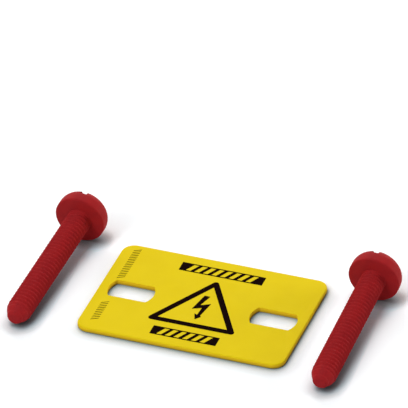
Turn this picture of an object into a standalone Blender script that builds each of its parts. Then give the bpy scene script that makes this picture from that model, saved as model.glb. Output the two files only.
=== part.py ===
"""High voltage warning sign for a terminal strip, with its two fixing screws.

A thin yellow plate covers four terminal blocks. It carries the printed flash in its triangle
and has a long slot at each end. Two red plastic machine screws hold it down through the slots.
The screws lie beside the plate, taken out, as they are supplied.
Metres, +Z up, X along the plate, origin under the middle of the plate.
"""

from math import asin, atan2, cos, pi, radians, sin, sqrt, tan

import bmesh
import bpy
from mathutils import Matrix, Vector

# Plate
plate_length = 0.0336
plate_height = 0.0230
plate_thickness = 0.0008
corner_radius = 0.0020
edge_round = 0.0002

# Slots: round holes cut off flat above and below, with eased corners
slot_margin = 0.0015
slot_length = 0.0074
slot_drop = 0.00025
slot_clearance = 0.0002
slot_corner = 0.0004

# Fixing screw, 4 mm thread and slotted pan head
thread_diameter = 0.0040
thread_pitch = 0.00075
thread_depth = 0.00035
crest_width = thread_pitch / 5
screw_length = 0.02475
neck_length = 0.0008
neck_fillet = 0.0003
neck_lap = 0.0001
tip_length = 0.0024
nose_length = 0.00075
nose_diameter = 0.0029
head_diameter = 0.0082
head_height = 0.0033
head_crown = 0.0002
head_shoulder = 0.0015
head_side = 0.0012
head_rim = 0.00025
driver_width = 0.0012
driver_depth = 0.0015

# Where each screw lies, seen from above: middle of the bearing face beyond the plate's end and
# up from its middle line, the head's direction, and the screw's turn about its own length
left_beyond = 0.00743
left_up = 0.01069
left_heading = radians(86.7)
left_turn = radians(1.3)
right_beyond = 0.00750
right_up = 0.00986
right_heading = radians(89.4)
right_turn = radians(-4)

# Print, a thin layer of ink
ink_thickness = 0.00006
ink_gap = 0.00002
print_across = 0.00018
print_drop = 0.0001
print_margin = 0.00195
triangle_stroke = 0.00095
triangle_corner = 0.0005
band_gap = 0.00138
band_height = 0.0021
band_rail = 0.0002
band_pitch = 0.0014
band_window = 0.0008
band_slant = radians(28)

# Lengths of the striped bands above and below the triangle, as shares of the plate's
top_band_share = 0.405
bottom_band_share = 0.318

# Roundness of the curves, and the welding distance
arc_step = radians(15)
edge_steps = 2
turn_steps = 16
head_steps = 40
shoulder_steps = 6
nose_steps = 4
fillet_steps = 3
sharp_angle = radians(30)
weld = 1e-7

slot_spacing = plate_length - slot_length - 2 * slot_margin
slot_width = thread_diameter + slot_clearance
print_bottom = plate_thickness + ink_gap
triangle_reach = plate_height / 2 - print_margin - band_height - band_gap
triangle_side = (2 * triangle_reach + triangle_corner) * 2 / sqrt(3)
cut_over = plate_thickness
neck_radius = (thread_diameter - thread_depth) / 2


def clear_scene():
    for thing in list(bpy.data.objects):
        bpy.data.objects.remove(thing, do_unlink=True)


def collection(name):
    made = bpy.data.collections.new(name)
    bpy.context.scene.collection.children.link(made)
    return made


def material(name, colour, roughness):
    made = bpy.data.materials.new(name)
    made.use_nodes = True
    shader = made.node_tree.nodes["Principled BSDF"]
    shader.inputs["Base Color"].default_value = (*colour, 1)
    shader.inputs["Roughness"].default_value = roughness
    shader.inputs["Metallic"].default_value = 0
    made.diffuse_color = (*colour, 1)
    return made


def arc(middle, radius, start, end):
    """Points of an arc, both ends included."""
    steps = max(2, round(abs(end - start) / arc_step))
    angles = [start + (end - start) * i / steps for i in range(steps + 1)]
    return [(middle[0] + radius * cos(a), middle[1] + radius * sin(a)) for a in angles]


def rounded_rectangle(length, height, radius):
    across = length / 2 - radius
    up = height / 2 - radius
    points = arc((across, up), radius, 0, pi / 2)
    points += arc((-across, up), radius, pi / 2, pi)
    points += arc((-across, -up), radius, pi, 3 * pi / 2)
    points += arc((across, -up), radius, 3 * pi / 2, 2 * pi)
    return points


def flattened_circle(length, width, corner):
    """A circle of diameter length, cut off flat at the given width, with eased corners."""
    big = length / 2
    rise = width / 2 - corner
    lean = asin(rise / (big - corner))
    across = (big - corner) * cos(lean)
    points = arc((0, 0), big, -lean, lean)
    points += arc((across, rise), corner, lean, pi / 2)
    points += arc((-across, rise), corner, pi / 2, pi - lean)
    points += arc((0, 0), big, pi - lean, pi + lean)
    points += arc((-across, -rise), corner, pi + lean, 3 * pi / 2)
    points += arc((across, -rise), corner, 3 * pi / 2, 2 * pi - lean)
    return points


def triangle(side, base, corner=0):
    """An upright equilateral triangle on the line y = base, its corners rounded if asked."""
    inset = corner * sqrt(3)
    middles = [(side / 2 - inset, base + corner), (0, base + side * sqrt(3) / 2 - 2 * corner)]
    middles.append((-middles[0][0], middles[0][1]))
    if not corner:
        return middles
    points = []
    for middle, start in zip(middles, (-pi / 2, pi / 6, 5 * pi / 6)):
        points += arc(middle, corner, start, start + 2 * pi / 3)
    return points


def moved(points, across=0, up=0):
    return [(x + across, y + up) for x, y in points]


def slab(name, loops, bottom, thickness):
    """A flat solid from an outline and its holes, as a welded mesh."""
    curve = bpy.data.curves.new(name, "CURVE")
    curve.dimensions = "2D"
    curve.fill_mode = "BOTH"
    curve.extrude = thickness / 2
    for loop in loops:
        spline = curve.splines.new("POLY")
        clean = [p for i, p in enumerate(loop) if (Vector(p) - Vector(loop[i - 1])).length > weld]
        spline.points.add(len(clean) - 1)
        spline.use_cyclic_u = True
        for point, (x, y) in zip(spline.points, clean):
            point.co = (x, y, 0, 1)
    drawn = bpy.data.objects.new(name + "_outline", curve)
    drawn.location.z = bottom + thickness / 2
    bpy.context.scene.collection.objects.link(drawn)
    return as_mesh(drawn, name)


def as_mesh(source, name):
    """The evaluated source as a closed mesh object in the same place; the source is removed."""
    bpy.context.view_layer.update()
    graph = bpy.context.evaluated_depsgraph_get()
    mesh = bpy.data.meshes.new_from_object(source.evaluated_get(graph))
    made = bpy.data.objects.new(name, mesh)
    made.matrix_world = source.matrix_world.copy()
    bpy.data.objects.remove(source, do_unlink=True)
    work = bmesh.new()
    work.from_mesh(mesh)
    bmesh.ops.remove_doubles(work, verts=work.verts, dist=weld)
    open_edges = [edge for edge in work.edges if edge.is_boundary]
    if open_edges:
        bmesh.ops.holes_fill(work, edges=open_edges, sides=0)
    bmesh.ops.recalc_face_normals(work, faces=work.faces)
    work.to_mesh(mesh)
    work.free()
    return made


def as_helper(thing):
    cutters.objects.link(thing)
    thing.hide_render = True
    thing.display_type = "WIRE"
    return thing


def add_boolean(thing, operation, other):
    modifier = thing.modifiers.new(operation.title(), "BOOLEAN")
    modifier.operation = operation
    modifier.solver = "EXACT"
    modifier.object = other


def turned(name, profile, steps, turns=1, rise=0):
    """A body swept round Z from a profile that runs down its outer side, rising if asked."""
    mesh = bpy.data.meshes.new(name)
    corners = [(radius, 0, height) for radius, height in profile]
    mesh.from_pydata(corners, [(i, i + 1) for i in range(len(corners) - 1)], [])
    source = bpy.data.objects.new(name + "_profile", mesh)
    bpy.context.scene.collection.objects.link(source)
    screw = source.modifiers.new("Screw", "SCREW")
    screw.axis = "Z"
    screw.angle = 2 * pi
    screw.steps = steps
    screw.render_steps = steps
    screw.iterations = turns
    screw.screw_offset = rise
    screw.use_merge_vertices = True
    screw.merge_threshold = weld
    return as_mesh(source, name)


def finish(thing, look, home):
    home.objects.link(thing)
    thing.data.materials.clear()
    thing.data.materials.append(look)
    thing.data.shade_smooth()
    thing.data.set_sharp_from_angle(angle=sharp_angle)


def make_plate(home, look):
    outline = rounded_rectangle(plate_length, plate_height, corner_radius)
    plate = slab("sign_plate", [outline], 0, plate_thickness)
    bevel = plate.modifiers.new("Soft edge", "BEVEL")
    bevel.width = edge_round
    bevel.segments = edge_steps
    bevel.limit_method = "ANGLE"
    bevel.angle_limit = 2 * sharp_angle
    opening = flattened_circle(slot_length, slot_width, slot_corner)
    for side, name in ((-1, "slot_left"), (1, "slot_right")):
        loop = moved(opening, side * slot_spacing / 2, -slot_drop)
        cutter = slab(name, [loop], -cut_over, plate_thickness + 2 * cut_over)
        add_boolean(plate, "DIFFERENCE", as_helper(cutter))
    plate.modifiers.new("Even shading", "WEIGHTED_NORMAL").keep_sharp = True
    finish(plate, look, home)


def make_flash():
    """The standard lightning flash, in shares of the triangle's side, from its middle."""
    bolt = [(-0.041, 0.279), (0.021, 0.276), (-0.029, 0.103), (0.073, 0.157)]
    arrow = [(0.033, -0.070), (0.049, -0.093), (-0.001, -0.150), (-0.036, -0.052)]
    back = [(-0.003, -0.070), (0.005, 0.062), (-0.091, 0.019)]
    middle = triangle_side * sqrt(3) / 6 - triangle_reach
    points = [(x * triangle_side, y * triangle_side) for x, y in bolt + arrow + back]
    return moved(points, up=middle)


def box(length, height):
    return [(x * length / 2, y * height / 2) for x, y in ((-1, -1), (1, -1), (1, 1), (-1, 1))]


def striped_band(length):
    """A framed band with slanted windows, like hazard tape."""
    high = band_height / 2 - band_rail
    lean = 2 * high * tan(band_slant)
    count = int((length - 2 * band_rail - lean) // band_pitch)
    first = -((count - 1) * band_pitch + band_window + lean) / 2
    loops = [box(length, band_height)]
    for i in range(count):
        left = first + i * band_pitch
        right = left + band_window
        loops.append([(left, -high), (right, -high), (right + lean, high), (left + lean, high)])
    return loops


def make_print(home, look):
    inner_side = triangle_side - 2 * sqrt(3) * triangle_stroke
    figures = {
        "printed_triangle": [
            triangle(triangle_side, -triangle_reach, triangle_corner),
            triangle(inner_side, triangle_stroke - triangle_reach),
        ],
        "printed_flash": [make_flash()],
    }
    band_middle = plate_height / 2 - print_margin - band_height / 2
    top_band = striped_band(top_band_share * plate_length)
    bottom_band = striped_band(bottom_band_share * plate_length)
    figures["printed_band_top"] = [moved(loop, up=band_middle) for loop in top_band]
    figures["printed_band_bottom"] = [moved(loop, up=-band_middle) for loop in bottom_band]
    for name, loops in figures.items():
        placed = [moved(loop, print_across, -print_drop) for loop in loops]
        finish(slab(name, placed, print_bottom, ink_thickness), look, home)


def head_profile():
    """From the crown of the pan head down its shoulder and rim to the fillet and the neck."""
    radius = head_diameter / 2
    flat = radius - head_shoulder
    fall = head_height - head_crown - head_side
    points = [(0, head_height), (flat / 2, head_height - head_crown / 4)]
    for i in range(shoulder_steps + 1):
        turn = pi / 2 * i / shoulder_steps
        points.append((flat + head_shoulder * sin(turn), head_side + fall * cos(turn)))
    points += [(radius, head_rim), (radius - head_rim, 0)]
    for i in range(fillet_steps + 1):
        turn = pi / 2 * i / fillet_steps
        across = neck_radius + neck_fillet * (1 - sin(turn))
        points.append((across, neck_fillet * (cos(turn) - 1)))
    return points + [(neck_radius, -neck_length), (0, -neck_length)]


def thread_profile(bottom):
    """One turn of the thread, from the top of its upper flank down to the root below."""
    crest = thread_diameter / 2
    root = crest - thread_depth
    flank = (thread_pitch - crest_width) / 2
    return [
        (root, bottom + thread_pitch),
        (crest, bottom + flank + crest_width),
        (crest, bottom + flank),
        (root, bottom),
    ]


def blank_profile():
    """What the thread is trimmed to: a lead-in from the neck, clear of the crests, then a
    cone with a rounded nose."""
    crest = thread_diameter / 2
    root = crest - thread_depth
    nose = nose_diameter / 2
    nose_top = nose_length - screw_length
    outside = crest + thread_depth
    cone_top = nose_top + (tip_length - nose_length) * (outside - nose) / (crest - nose)
    lead_top = neck_lap + neck_radius - root - neck_length
    points = [(0, lead_top), (root, lead_top), (outside, lead_top - outside + root), (outside, cone_top)]
    for i in range(nose_steps):
        turn = pi / 2 * i / nose_steps
        points.append((nose * cos(turn), nose_top - nose_length * sin(turn)))
    return points + [(0, -screw_length)]


def make_screw_mesh():
    """Thread trimmed to a blank with a rounded tip, joined to the head, then slotted."""
    bottom = -screw_length - thread_pitch
    turns = int(-bottom / thread_pitch) + 2
    thread = turned("thread", thread_profile(bottom - thread_pitch), turn_steps, turns, thread_pitch)
    blank = as_helper(turned("blank", blank_profile(), 2 * turn_steps))
    head = as_helper(turned("head", head_profile(), head_steps))
    groove = [box(2 * head_diameter, driver_width)]
    notch = as_helper(slab("driver_slot", groove, head_height - driver_depth, head_height))
    bpy.context.scene.collection.objects.link(thread)
    add_boolean(thread, "INTERSECT", blank)
    add_boolean(thread, "UNION", head)
    add_boolean(thread, "DIFFERENCE", notch)
    screw = as_mesh(thread, "fixing_screw")
    for helper in (blank, head, notch):
        bpy.data.objects.remove(helper, do_unlink=True)
    mesh = screw.data
    bpy.data.objects.remove(screw)
    return mesh


def make_screws(home, look):
    """Each screw lies on its head rim and on the last full thread before the tip."""
    mesh = make_screw_mesh()
    head_radius = head_diameter / 2
    span = screw_length - tip_length + head_rim
    tilt = atan2(head_radius - thread_diameter / 2, span)
    lift = head_radius * cos(tilt) - head_rim * sin(tilt)
    end = plate_length / 2
    lying = {
        "screw_left": (-end - left_beyond, left_up, left_heading, left_turn),
        "screw_right": (end + right_beyond, right_up, right_heading, right_turn),
    }
    for name, (across, up, heading, turn) in lying.items():
        screw = bpy.data.objects.new(name, mesh)
        lie = Matrix.Rotation(heading, 4, "Z") @ Matrix.Rotation(pi / 2 - tilt, 4, "Y")
        place = Matrix.Translation((across, up, lift))
        screw.matrix_world = place @ lie @ Matrix.Rotation(turn, 4, "Z")
        finish(screw, look, home)


clear_scene()
parts = collection("high_voltage_warning_sign")
cutters = collection("cutters")
yellow = material("yellow_plastic", (0.79, 0.58, 0.017), 0.45)
black = material("black_ink", (0.008, 0.004, 0.005), 0.5)
red = material("red_plastic", (0.38, 0.012, 0.014), 0.4)
make_plate(parts, yellow)
make_print(parts, black)
make_screws(parts, red)
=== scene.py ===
from math import asin, atan2, cos, pi, radians, sin, sqrt, tan

import bmesh
import bpy
from mathutils import Matrix, Vector


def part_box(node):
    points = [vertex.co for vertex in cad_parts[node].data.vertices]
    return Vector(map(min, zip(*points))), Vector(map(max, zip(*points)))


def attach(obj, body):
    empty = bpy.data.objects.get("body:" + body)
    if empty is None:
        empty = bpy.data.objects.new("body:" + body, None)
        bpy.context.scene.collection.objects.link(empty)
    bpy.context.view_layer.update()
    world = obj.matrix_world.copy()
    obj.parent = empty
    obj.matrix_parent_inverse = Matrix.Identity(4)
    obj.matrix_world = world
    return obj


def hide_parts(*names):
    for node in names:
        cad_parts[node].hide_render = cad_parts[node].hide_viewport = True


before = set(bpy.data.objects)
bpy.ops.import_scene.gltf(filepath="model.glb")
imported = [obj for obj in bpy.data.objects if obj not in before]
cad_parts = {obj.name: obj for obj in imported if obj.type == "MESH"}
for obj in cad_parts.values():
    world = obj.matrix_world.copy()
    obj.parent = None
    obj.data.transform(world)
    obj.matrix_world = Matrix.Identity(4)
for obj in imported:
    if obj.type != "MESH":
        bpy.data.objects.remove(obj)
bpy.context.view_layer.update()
scene = bpy.context.scene
mm = 0.001
hair = 0.0001 * mm  # points nearer than this are one point


class Wire:
    # a socket: sums written with it add their own Math nodes
    def __init__(self, finish, socket):
        self.finish = finish
        self.socket = socket

    def math(self, operation, *values):
        return self.finish.node("Math", {"operation": operation}, dict(enumerate(values)))

    def __add__(self, other):
        return self.math("ADD", self, other)

    def __sub__(self, other):
        return self.math("SUBTRACT", self, other)

    def __rsub__(self, other):
        return self.math("SUBTRACT", other, self)

    def __mul__(self, other):
        return self.math("MULTIPLY", self, other)

    def __pow__(self, other):
        return self.math("POWER", self, other)

    def __abs__(self):
        return self.math("ABSOLUTE", self)

    __radd__ = __add__
    __rmul__ = __mul__


class Finish:
    # the nodes of a material or of the world: its shader, and one method that makes any other
    def __init__(self, owner, shader="Principled BSDF"):
        owner.use_nodes = True
        self.owner = owner
        self.tree = owner.node_tree
        self.shader = self.tree.nodes[shader]

    def join(self, value, socket):
        if isinstance(value, Wire):
            self.tree.links.new(value.socket, socket)
        else:
            socket.default_value = value

    def node(self, kind, settings=None, values=None, output=0):
        made = self.tree.nodes.new("ShaderNode" + kind)
        for name, value in (settings or {}).items():
            setattr(made, name, value)
        for name, value in (values or {}).items():
            self.join(value, made.inputs[name])
        return Wire(self, made.outputs[output])

    def blend(self, factor, low, high):
        return self.node("Mix", {"data_type": "RGBA"}, {0: factor, 6: low, 7: high}, 2)

    def place(self):
        return self.node("TexCoord", output="Object")  # where the point is, in metres

    def along(self, vector, axis):
        return self.node("SeparateXYZ", None, {0: vector}, axis)

    def noise(self, size, detail, place=None):
        # soft patches of about this size, from 0 to 1
        values = {"Vector": place or self.place(), "Scale": 1 / size, "Detail": detail}
        return self.node("TexNoise", None, values)

    def mask(self, value, low, high):
        # 0 below low, 1 above high, smooth between
        settings = {"interpolation_type": "SMOOTHSTEP"}
        values = {"Value": value, "From Min": low, "From Max": high}
        return self.node("MapRange", settings, values)

    def openness(self, reach, lean):
        # 1 on open ground, less where something stands nearer than reach
        towards = self.node("CombineXYZ", None, dict(enumerate(lean)))
        values = {"Distance": reach, "Normal": towards}
        return self.node("AmbientOcclusion", None, values, "AO")

    def seen(self):
        # 1 for what the camera sees, directly, in gloss or through clear plastic
        direct = self.node("LightPath", output="Is Camera Ray")
        gloss = self.node("LightPath", output="Is Glossy Ray")
        return direct + gloss + self.node("LightPath", output="Is Transmission Ray")

    def bump(self, height, depth):
        values = {"Strength": 1, "Distance": depth, "Height": height}
        self.set(Normal=self.node("Bump", None, values))

    def set(self, **values):
        for name, value in values.items():
            self.join(value, self.shader.inputs[name.replace("_", " ")])


def newFinish(name):
    return Finish(bpy.data.materials.new(name))


# How finely the corners and edges of the flat pieces are rounded
roundPlan = {
    "cornerStep": radians(5),
    "edgeSegments": 4,
    "edgeProfile": 0.5,
    "sharp": radians(35),
}


def ramp(first, last, steps):
    return [first + (last - first) * i / steps for i in range(steps + 1)]


def arc(middle, radius, start, end):
    steps = max(2, round(abs(end - start) / roundPlan["cornerStep"]))
    x, y = middle
    return [(x + radius * cos(a), y + radius * sin(a)) for a in ramp(start, end, steps)]


def roundedBox(length, height, radius):
    across, up = length / 2 - radius, height / 2 - radius
    corners = ((across, up), (-across, up), (-across, -up), (across, -up))
    points = []
    for i, middle in enumerate(corners):
        points += arc(middle, radius, i * pi / 2, (i + 1) * pi / 2)
    return points


def slotOutline(length, width, corner):
    # a circle cut off flat above and below, its corners eased
    big = length / 2
    rise = width / 2 - corner
    lean = asin(rise / (big - corner))
    across = (big - corner) * cos(lean)
    points = []
    for side in (0, pi):
        points += arc((0, 0), big, side - lean, side + lean)
        for (x, y), turn in (((across, rise), lean), ((-across, rise), pi / 2)):
            middle = (x * cos(side) - y * sin(side), x * sin(side) + y * cos(side))
            points += arc(middle, corner, side + turn, side + turn + pi / 2 - lean)
    return points


def trianglePoints(side, base, corner=0):
    # an upright triangle with equal sides, its corners rounded where corner is given
    inset = corner * sqrt(3)
    foot = (side / 2 - inset, base + corner)
    top = (0, base + side * sqrt(3) / 2 - 2 * corner)
    middles = [foot, top, (-foot[0], foot[1])]
    if not corner:
        return middles
    points = []
    for i, middle in enumerate(middles):
        start = (4 * i - 3) * pi / 6
        points += arc(middle, corner, start, start + 2 * pi / 3)
    return points


def barPoints(left, right, low, high, lean=0):
    # four corners of a bar whose upper edge is pushed along by lean
    return [(left, low), (right, low), (right + lean, high), (left + lean, high)]


def moved(points, across, up):
    return [(x + across, y + up) for x, y in points]


def link(name, mesh, finish):
    made = bpy.data.objects.new(name, mesh)
    scene.collection.objects.link(made)
    mesh.materials.append(finish.owner)
    return made


def finished(name, work):
    mesh = bpy.data.meshes.new(name)
    work.to_mesh(mesh)
    work.free()
    return mesh


def slab(name, loops, bottom, top, rounds, finish):
    # a flat sheet from an outline and its holes; rounds has the edge radius of each loop
    work = bmesh.new()
    lips = []
    for loop, edgeRound in zip(loops, rounds):
        apart = [p for i, p in enumerate(loop) if (Vector(p) - Vector(loop[i - 1])).length > hair]
        count = range(len(apart))
        rows = [[work.verts.new((x, y, z)) for x, y in apart] for z in (bottom, top)]
        for i in count:
            work.faces.new((rows[0][i - 1], rows[0][i], rows[1][i], rows[1][i - 1]))
        for row in rows:
            lips.append((edgeRound, [work.edges.get((row[i - 1], row[i])) for i in count]))
    for z in (bottom, top):
        rim = [e for _, edges in lips for e in edges if abs(e.verts[0].co.z - z) < hair]
        bmesh.ops.triangle_fill(work, edges=rim, use_beauty=True)
    bmesh.ops.recalc_face_normals(work, faces=work.faces)
    for edgeRound, edges in lips:
        if edgeRound:
            bmesh.ops.bevel(
                work,
                geom=edges,
                offset=edgeRound,
                segments=roundPlan["edgeSegments"],
                profile=roundPlan["edgeProfile"],
                affect="EDGES",
            )
    made = link(name, finished(name, work), finish)
    made.data.shade_smooth()
    made.data.set_sharp_from_angle(angle=roundPlan["sharp"])
    made.modifiers.new("Even shading", "WEIGHTED_NORMAL").keep_sharp = True
    return made


# Camera: where it stands, and where the plate's middle lies off the middle of the picture
cameraPlan = {
    "azimuth": radians(20.81),
    "elevation": radians(34.99),
    "roll": radians(-1.5),
    "distance": 919.87 * mm,
    "right": -0.2 * mm,
    "up": -15.32 * mm,
    "lens": 529.4,
    "sensor": 36,
    "sight": 20000 * mm,
}


def makeCamera(plan):
    a, e, roll = plan["azimuth"], plan["elevation"], plan["roll"]
    back = Vector((sin(a) * cos(e), -cos(a) * cos(e), sin(e)))
    level = Vector((cos(a), sin(a), 0))
    right = level * cos(roll) + back.cross(level) * sin(roll)
    up = back.cross(right)
    aim = Vector((0, 0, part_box("sign_plate")[1].z))
    stand = aim - right * plan["right"] - up * plan["up"] + back * plan["distance"]
    camera = bpy.data.cameras.new("camera")
    camera.lens = plan["lens"]
    camera.sensor_width = plan["sensor"]
    camera.clip_end = plan["sight"]
    made = bpy.data.objects.new("camera", camera)
    turn = Matrix((right, up, back)).transposed().to_4x4()
    made.matrix_world = Matrix.Translation(stand) @ turn
    scene.collection.objects.link(made)
    scene.camera = made


makeCamera(cameraPlan)
print("camera done")


# Yellow sheet plastic of the plate: clouded, slightly worn, with painted shade darkening the foot
# of its cut edges
yellowLook = {
    "colour": (0.81, 0.605, 0.005, 1),
    "deeper": (0.785, 0.58, 0.0045, 1),
    "cloud": (5 * mm, 3),  # size of the patches and their detail, here and below
    "cloudSpread": (0.35, 0.75),
    "cutEdge": (0.83, 0.54, 0.012, 1),
    # painted shade at the foot of the cut edges: its colour, and the height over which it fades
    # out
    "paintedFootShade": (0.42, 0.26, 0.02, 1),
    "footShadeSpread": (0, 0.6 * mm),
    "faceSpread": (0.2, 0.8),  # how far up a surface looks, from cut edge to printed face
    "wear": (5 / 3 * mm, 4),
    "wearSpread": (0.4, 0.7),
    "wearDulls": 0.06,
    "grain": (0.12 * mm, 2),
    "grainDulls": 0.04,
    "grainDepth": 0.002 * mm,
    "roughness": 0.5,
    "specular": 0.03,
}


def yellowPlastic(look):
    finish = newFinish("yellowPlastic")
    cloud = finish.mask(finish.noise(*look["cloud"]), *look["cloudSpread"])
    wear = finish.mask(finish.noise(*look["wear"]), *look["wearSpread"])
    grain = finish.noise(*look["grain"])
    # painted shade: the cut edges are darker towards their foot
    foot = finish.mask(finish.along(finish.place(), "Z"), *look["footShadeSpread"])
    upward = abs(finish.along(finish.node("TexCoord", output="Normal"), "Z"))
    edge = finish.blend(foot, look["paintedFootShade"], look["cutEdge"])
    face = finish.blend(cloud, look["colour"], look["deeper"])
    finish.set(
        Base_Color=finish.blend(finish.mask(upward, *look["faceSpread"]), edge, face),
        Roughness=look["roughness"] + look["wearDulls"] * wear + look["grainDulls"] * grain,
        Specular_IOR_Level=look["specular"],
    )
    finish.bump(grain, look["grainDepth"])
    return finish


# Black printing ink, here and there laid on a little thinner
inkLook = {
    "colour": (0.005, 0.0008, 0.001, 1),
    "thin": (0.010, 0.0035, 0.0015, 1),
    "cover": (0.6 * mm, 4),
    "coverSpread": (0.45, 0.75),
    "coverDulls": 0.08,
    "grain": (0.1 * mm, 2),
    "grainDulls": 0.05,
    "grainDepth": 0.002 * mm,
    "roughness": 0.6,
    "specular": 0.004,
}


def blackInk(look):
    finish = newFinish("blackInk")
    cover = finish.mask(finish.noise(*look["cover"]), *look["coverSpread"])
    grain = finish.noise(*look["grain"])
    finish.set(
        Base_Color=finish.blend(cover, look["colour"], look["thin"]),
        Roughness=look["roughness"] + look["coverDulls"] * cover + look["grainDulls"] * grain,
        Specular_IOR_Level=look["specular"],
    )
    finish.bump(grain + cover, look["grainDepth"])
    return finish


# Red moulded plastic of the screws: drawn out along them, with a fine seam from the mould
redLook = {
    "colour": (0.37, 0.0155, 0.0175, 1),
    "deeper": (0.33, 0.0145, 0.0175, 1),
    "flow": (1.6 * mm, 3),
    "flowStretch": (1, 1, 0.35),
    "flowSpread": (0.35, 0.7),
    "flowDulls": 0.08,
    "flowRise": 2,
    "grain": (0.1 * mm, 2),
    "grainDulls": 0.05,
    "grainDepth": 0.004 * mm,
    "seamSpread": (0.015 * mm, 0.05 * mm),
    "seamShines": 0.05,
    "seamRise": 3,
    "roughness": 0.5,
    "specular": 0.04,
}


def redPlastic(look):
    finish = newFinish("redPlastic")
    own = finish.node("Attribute", {"attribute_name": "ownPlace"}, output="Vector")
    stretch = {0: own, 1: look["flowStretch"]}
    drawn = finish.node("VectorMath", {"operation": "MULTIPLY"}, stretch)
    flow = finish.noise(*look["flow"], drawn)
    grain = finish.noise(*look["grain"], own)
    seam = 1 - finish.mask(abs(finish.along(own, "Y")), *look["seamSpread"])
    dull = look["flowDulls"] * flow + look["grainDulls"] * grain - look["seamShines"] * seam
    deeper = finish.mask(flow, *look["flowSpread"])
    finish.set(
        Base_Color=finish.blend(deeper, look["colour"], look["deeper"]),
        Roughness=look["roughness"] + dull,
        Specular_IOR_Level=look["specular"],
    )
    finish.bump(grain + look["flowRise"] * flow + look["seamRise"] * seam, look["grainDepth"])
    return finish


yellow = yellowPlastic(yellowLook)
ink = blackInk(inkLook)
red = redPlastic(redLook)
print("finishes done")


# Plate: length, height and thickness from the solid, edges and slots as on the real one
platePlan = {
    "corner": 2 * mm,
    "edge": 0.2 * mm,
    "slotMargin": 1.5 * mm,
    "slotLength": 7.4 * mm,
    "slotWidth": 4.2 * mm,
    "slotDrop": 0.25 * mm,
    "slotCorner": 0.4 * mm,
    "slotEdge": 0.05 * mm,
}
plateLow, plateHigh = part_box("sign_plate")
plateTop = plateHigh.z


def makePlate(plan):
    size = plateHigh - plateLow
    loops = [roundedBox(size.x, size.y, plan["corner"])]
    opening = slotOutline(plan["slotLength"], plan["slotWidth"], plan["slotCorner"])
    reach = size.x / 2 - plan["slotMargin"] - plan["slotLength"] / 2
    for side in (-1, 1):
        loops.append(moved(opening, side * reach, -plan["slotDrop"]))
    rounds = [plan["edge"], plan["slotEdge"], plan["slotEdge"]]
    plate = slab("signPlate", loops, plateLow.z, plateTop, rounds, yellow)
    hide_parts("sign_plate")
    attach(plate, "root")


makePlate(platePlan)
print("plate done")


# Print: the flash in its triangle, striped bands, and fine ticks beside the left slot
printPlan = {
    "height": 0.03 * mm,
    "sunk": 0.01 * mm,
    "stroke": 0.95 * mm,
    "corner": 0.5 * mm,
    "rail": 0.2 * mm,
    "pitch": 1.4 * mm,
    "window": 0.8 * mm,
    "slant": radians(28),
    "flash": [
        # across and up from the triangle's middle, as shares of its side
        (-0.041, 0.279), (0.021, 0.276), (-0.029, 0.103), (0.073, 0.157), (0.033, -0.070),
        (0.049, -0.093), (-0.001, -0.150), (-0.036, -0.052), (-0.003, -0.070), (0.005, 0.062),
        (-0.091, 0.019),
    ],
    "ticks": [(-14.4 * mm, 6.4 * mm, 8.0 * mm), (-14.4 * mm, -6.5 * mm, 5.2 * mm)],
    "tickLength": 1.15 * mm,
    "tickWidth": 0.13 * mm,
    "tickPitch": 0.5 * mm,
}


def printed(name, loops, node):
    bottom, top = plateTop - printPlan["sunk"], plateTop + printPlan["height"]
    piece = slab(name, loops, bottom, top, [0] * len(loops), ink)
    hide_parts(node)
    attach(piece, "root")


def makeTriangle(plan):
    low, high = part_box("printed_triangle")
    middle = (low.x + high.x) / 2
    side = (high.y - low.y + plan["corner"]) * 2 / sqrt(3)
    inner = trianglePoints(side - 2 * sqrt(3) * plan["stroke"], low.y + plan["stroke"])
    outer = trianglePoints(side, low.y, plan["corner"])
    frameLoops = [moved(points, middle, 0) for points in (outer, inner)]
    printed("printedTriangle", frameLoops, "printed_triangle")
    bolt = [(x * side, y * side) for x, y in plan["flash"]]
    flashLoops = [moved(bolt, middle, low.y + side * sqrt(3) / 6)]
    printed("printedFlash", flashLoops, "printed_flash")


def makeBand(plan, name, node):
    # a dark bar with slanted windows
    low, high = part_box(node)
    length, tall = high.x - low.x, high.y - low.y
    rise = tall / 2 - plan["rail"]
    lean = 2 * rise * tan(plan["slant"])
    count = int((length - 2 * plan["rail"] - lean) // plan["pitch"])
    first = -((count - 1) * plan["pitch"] + plan["window"] + lean) / 2
    loops = [barPoints(-length / 2, length / 2, -tall / 2, tall / 2)]
    for i in range(count):
        left = first + i * plan["pitch"]
        loops.append(barPoints(left, left + plan["window"], -rise, rise, lean))
    middle = (low + high) / 2
    printed(name, [moved(loop, middle.x, middle.y) for loop in loops], node)


def makeTicks(plan):
    work = bmesh.new()
    top = plateTop + plan["height"] / 2
    half, thick = plan["tickLength"] / 2, plan["tickWidth"] / 2
    lean = half * tan(plan["slant"])
    sides = [(-half, -lean - thick), (half, lean - thick)]
    sides += [(half, lean + thick), (-half, thick - lean)]
    for x, y, length in plan["ticks"]:
        count = int(length / plan["tickPitch"])
        for i in range(count):
            up = y + (i - (count - 1) / 2) * plan["tickPitch"]
            work.faces.new([work.verts.new((a, b, top)) for a, b in moved(sides, x, up)])
    solid = bmesh.ops.extrude_face_region(work, geom=work.faces[:])
    lower = [v for v in solid["geom"] if isinstance(v, bmesh.types.BMVert)]
    bmesh.ops.translate(work, verts=lower, vec=(0, 0, -plan["sunk"] - plan["height"] / 2))
    bmesh.ops.recalc_face_normals(work, faces=work.faces)
    piece = link("edgeTicks", finished("edgeTicks", work), ink)
    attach(piece, "root")


makeTriangle(printPlan)
makeBand(printPlan, "upperBand", "printed_band_top")
makeBand(printPlan, "lowerBand", "printed_band_bottom")
makeTicks(printPlan)
print("print done")


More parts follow.
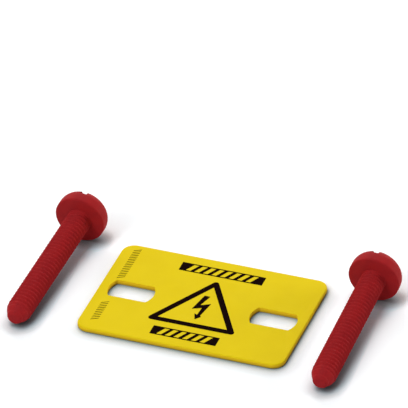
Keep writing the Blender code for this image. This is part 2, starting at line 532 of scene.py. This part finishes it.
# Screw: thread, tip and slotted pan head; the thread is shallower and rounder than cut steel
screwPlan = {
    "radius": 2 * mm,
    "pitch": 0.75 * mm,
    "depth": 0.3 * mm,
    "groove": 0.8,  # under 1 the grooves are wider than the crests
    "length": 24.75 * mm,
    "plain": 0.6 * mm,
    "fillet": 0.3 * mm,
    "tip": 2.4 * mm,
    "bulge": 1.8,
    "nose": 1.28 * mm,
    "noseRound": 0.55 * mm,
    "noseFlat": 0.7 * mm,
    "headRadius": 4.1 * mm,
    "headHeight": 3.3 * mm,
    "crown": 0.2 * mm,
    "crownRings": (0.3, 0.6, 0.85),
    "shoulder": 1.5 * mm,
    "side": 1.2 * mm,
    "rim": 0.25 * mm,
    "slotWidth": 1.2 * mm,
    "slotDepth": 1.5 * mm,
    "columns": 96,
    "rowsPerTurn": 10,
    "filletRows": 6,
    "noseRows": 10,
    "shoulderRows": 14,
    "rimRows": 5,
    "sharp": radians(40),
    "places": {
        # side of the plate, bearing face beyond its end and up, heading, turn of the driver slot
        "screw_left": ("leftScrew", -1, 7.43 * mm, 10.69 * mm, radians(86.7), radians(1.3)),
        "screw_right": ("rightScrew", 1, 7.50 * mm, 9.86 * mm, radians(89.4), radians(-4)),
    },
}


def threadDip(plan, down, turn):
    # 0 on the crest, 1 at the root, rounded
    phase = (-down / plan["pitch"] - turn / (2 * pi)) % 1
    return (0.5 - 0.5 * cos(2 * pi * phase)) ** plan["groove"]


def tipRadius(plan, down):
    # a slightly bulging cone, then a rounded nose with a small flat
    coneStart = plan["length"] - plan["tip"]
    coneEnd = plan["length"] - plan["noseRound"]
    if down > coneEnd:
        share = min(1, (down - coneEnd) / plan["noseRound"])
        return plan["noseFlat"] + (plan["nose"] - plan["noseFlat"]) * sqrt(1 - share ** 2)
    share = max(0, (down - coneStart) / (coneEnd - coneStart))
    return plan["radius"] - (plan["radius"] - plan["nose"]) * share ** plan["bulge"]


def shankRadius(plan, down, turn):
    radius, fillet = plan["radius"], plan["fillet"]
    core = radius - plan["depth"] / 2
    start = min(1, max(0, (down - fillet) / plan["plain"]))
    fade = start * start * (3 - 2 * start)
    cut = (radius - plan["depth"] * threadDip(plan, down, turn)) * fade + core * (1 - fade)
    if down < fillet:
        cut += fillet - sqrt(fillet ** 2 - (fillet - down) ** 2)
    return min(cut, tipRadius(plan, down))


def shankRows(plan):
    # how far under the head each ring of points lies
    fillet, noseRound = plan["fillet"], plan["noseRound"]
    coneEnd = plan["length"] - noseRound
    count = round((coneEnd - fillet) * plan["rowsPerTurn"] / plan["pitch"])
    rows = [fillet * (1 - cos(t)) for t in ramp(0, pi / 2, plan["filletRows"])]
    rows += ramp(fillet, coneEnd, count)[1:]
    rows += [coneEnd + noseRound * sin(t) for t in ramp(0, pi / 2, plan["noseRows"])][1:]
    return rows


def headOutline(plan):
    # from the crown down the shoulder and the side to the rim and the bearing face
    radius, flat = plan["headRadius"], plan["headRadius"] - plan["shoulder"]
    top, rim = plan["headHeight"], plan["rim"]
    fall = top - plan["crown"] - plan["side"]
    points = [(flat * share, top - plan["crown"] * share ** 2) for share in plan["crownRings"]]
    for turn in ramp(0, pi / 2, plan["shoulderRows"]):
        points.append((flat + plan["shoulder"] * sin(turn), plan["side"] + fall * cos(turn)))
    for turn in ramp(0, pi / 2, plan["rimRows"]):
        points.append((radius - rim + rim * cos(turn), rim - rim * sin(turn)))
    return points


def revolve(name, rows, columns, topHeight, bottomHeight):
    # rows are (height, radii all round); an end that is given closes on the axis
    mesh = bpy.data.meshes.new(name)
    points = []
    for height, radii in rows:
        for column, radius in enumerate(radii):
            turn = 2 * pi * column / columns
            points.append((radius * cos(turn), radius * sin(turn), height))
    faces = []
    for row in range(len(rows) - 1):
        for column in range(columns):
            here, after = row * columns + column, row * columns + (column + 1) % columns
            faces.append((here, here + columns, after + columns, after))
    last = (len(rows) - 1) * columns
    if topHeight is not None:
        points.append((0, 0, topHeight))
        faces += [(len(points) - 1, i, (i + 1) % columns) for i in range(columns)]
    points.append((0, 0, bottomHeight))
    faces += [(len(points) - 1, last + (i + 1) % columns, last + i) for i in range(columns)]
    mesh.from_pydata(points, [], faces)
    mesh.validate()
    return mesh


def workpiece(name, mesh):
    # in the scene only while the driver slot is cut
    made = bpy.data.objects.new(name, mesh)
    scene.collection.objects.link(made)
    return made


def makeHead(plan):
    columns = plan["columns"]
    rows = [(height, [radius] * columns) for radius, height in headOutline(plan)]
    head = workpiece("head", revolve("head", rows, columns, plan["headHeight"], 0))
    work = bmesh.new()
    bmesh.ops.create_cube(work, size=1)
    # twice as long as the head is wide, and as deep again above it
    size = Vector((4 * plan["headRadius"], plan["slotWidth"], 2 * plan["slotDepth"]))
    bmesh.ops.scale(work, vec=size, verts=work.verts)
    bmesh.ops.translate(work, vec=(0, 0, plan["headHeight"]), verts=work.verts)
    cutter = workpiece("driverCutter", finished("driverCutter", work))
    groove = head.modifiers.new("Driver slot", "BOOLEAN")
    groove.operation = "DIFFERENCE"
    groove.solver = "EXACT"
    groove.object = cutter
    bpy.context.view_layer.update()
    graph = bpy.context.evaluated_depsgraph_get()
    made = bpy.data.meshes.new_from_object(head.evaluated_get(graph))
    bpy.data.objects.remove(head)
    bpy.data.objects.remove(cutter)
    return made


def makeScrewMesh(plan):
    columns = plan["columns"]
    turns = [2 * pi * column / columns for column in range(columns)]
    rows = [(-down, [shankRadius(plan, down, turn) for turn in turns]) for down in shankRows(plan)]
    work = bmesh.new()
    work.from_mesh(makeHead(plan))
    work.from_mesh(revolve("shank", rows, columns, None, -plan["length"]))
    mesh = finished("fixingScrew", work)
    mesh.materials.clear()
    mesh.shade_smooth()
    mesh.set_sharp_from_angle(angle=plan["sharp"])
    return mesh


def keepOwnPlace(mesh):
    # the points as moulded, so that the finish follows the screw wherever it lies
    own = mesh.attributes.new("ownPlace", "FLOAT_VECTOR", "POINT")
    for point, vertex in zip(own.data, mesh.vertices):
        point.vector = vertex.co


def makeScrews(plan):
    moulded = makeScrewMesh(plan)
    keepOwnPlace(moulded)
    # it lies on the rim of its head and on the last full thread
    tilt = atan2(plan["headRadius"] - plan["radius"], plan["length"] - plan["tip"] + plan["rim"])
    lift = plan["headRadius"] * cos(tilt) - plan["rim"] * sin(tilt)
    for node, (name, side, beyond, up, heading, turn) in plan["places"].items():
        mesh = moulded.copy()
        across = side * ((plateHigh.x - plateLow.x) / 2 + beyond)
        lie = Matrix.Rotation(heading, 4, "Z") @ Matrix.Rotation(pi / 2 - tilt, 4, "Y")
        lie = Matrix.Translation((across, up, lift)) @ lie @ Matrix.Rotation(turn, 4, "Z")
        mesh.transform(lie)
        screw = link(name, mesh, red)
        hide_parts(node)
        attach(screw, "root")


makeScrews(screwPlan)
print("screws done")


# Floor and light: a white sweep under nine wide lamps, cooler in front and warmer behind
stagePlan = {
    "floor": 3000 * mm,
    "gap": 0.01 * mm,
    "floorColour": (0.8, 0.8, 0.8, 1),  # as the lamps' light meets it
    "floorSeen": (1.13, 1.15, 1.15, 1),  # as the camera sees it
    "closeShade": 2.5 * mm,
    "closeDepth": 1.2,
    "closeColour": (0, 0, 0, 1),
    "coolReach": 5 * mm,
    "coolSpread": (0.45, 0.75),
    "coolShade": (0.87, 1.1, 1.18, 1),
    "shadeLean": (-0.42, 0.35, 0.84),  # shadows are deeper in front and on the right
    "sky": (1, 1, 1, 1),
    "cool": (0.97, 1, 1.03),
    "warm": (1, 0.985, 0.96),
    "lampDistance": 1200 * mm,
    "lampSize": 600 * mm,
    "lamps": {
        # azimuth from straight behind towards the right, elevation, power, colour
        "above": (radians(-120), radians(76), 5.2, "cool"),
        "frontHigh": (radians(-150), radians(54), 2.2, "cool"),
        "frontLeft": (radians(-150), radians(32), 4.2, "cool"),
        "lowFront": (radians(150), radians(12), 1.7, "cool"),
        "behind": (radians(0), radians(54), 1.6, "warm"),
        "behindLeft": (radians(-30), radians(32), 3.4, "warm"),
        "lowLeft": (radians(-60), radians(12), 1.7, "warm"),
        "lowBehind": (radians(0), radians(12), 4.2, "warm"),
        "lowRight": (radians(60), radians(12), 7.1, "warm"),
    },
}


def makeFloor(plan):
    finish = newFinish("floor")
    finish.tree.nodes.remove(finish.shader)
    plain = finish.node("BsdfDiffuse", None, {"Color": plan["floorColour"]})
    # where something stands close over the floor, painted shade darkens it and cools it a little
    near = finish.openness(plan["closeShade"], plan["shadeLean"]) ** plan["closeDepth"]
    wide = finish.openness(plan["coolReach"], plan["shadeLean"])
    cool = finish.mask(wide, *plan["coolSpread"])
    lit = finish.blend(cool, plan["coolShade"], plan["floorSeen"])
    shade = finish.blend(near, plan["closeColour"], lit)
    white = finish.node("BsdfDiffuse", None, {"Color": shade})
    mixed = finish.node("MixShader", None, {0: finish.seen(), 1: plain, 2: white})
    finish.join(mixed, finish.tree.nodes["Material Output"].inputs["Surface"])
    half = plan["floor"] / 2
    mesh = bpy.data.meshes.new("floor")
    corners = [(x, y, 0) for x, y in barPoints(-half, half, -half, half)]
    mesh.from_pydata(corners, [], [(0, 1, 2, 3)])
    floor = link("floor", mesh, finish)
    floor.location.z = plateLow.z - plan["gap"]


def makeLight(plan):
    scene.world = scene.world or bpy.data.worlds.new("world")
    sky = Finish(scene.world, "Background")
    sky.set(Color=plan["sky"], Strength=sky.seen())
    for name, (azimuth, elevation, power, colour) in plan["lamps"].items():
        data = bpy.data.lights.new(name, "AREA")
        data.shape = "DISK"
        data.size = plan["lampSize"]
        data.energy = power
        data.color = plan[colour]
        lamp = bpy.data.objects.new(name, data)
        flat = cos(elevation)
        out = Vector((sin(azimuth) * flat, cos(azimuth) * flat, sin(elevation)))
        lamp.location = out * plan["lampDistance"]
        lamp.rotation_euler = out.to_track_quat("Z", "Y").to_euler()
        scene.collection.objects.link(lamp)


makeFloor(stagePlan)
makeLight(stagePlan)
scene.view_settings.view_transform = "Standard"
print("stage done")

bpy.context.view_layer.update()
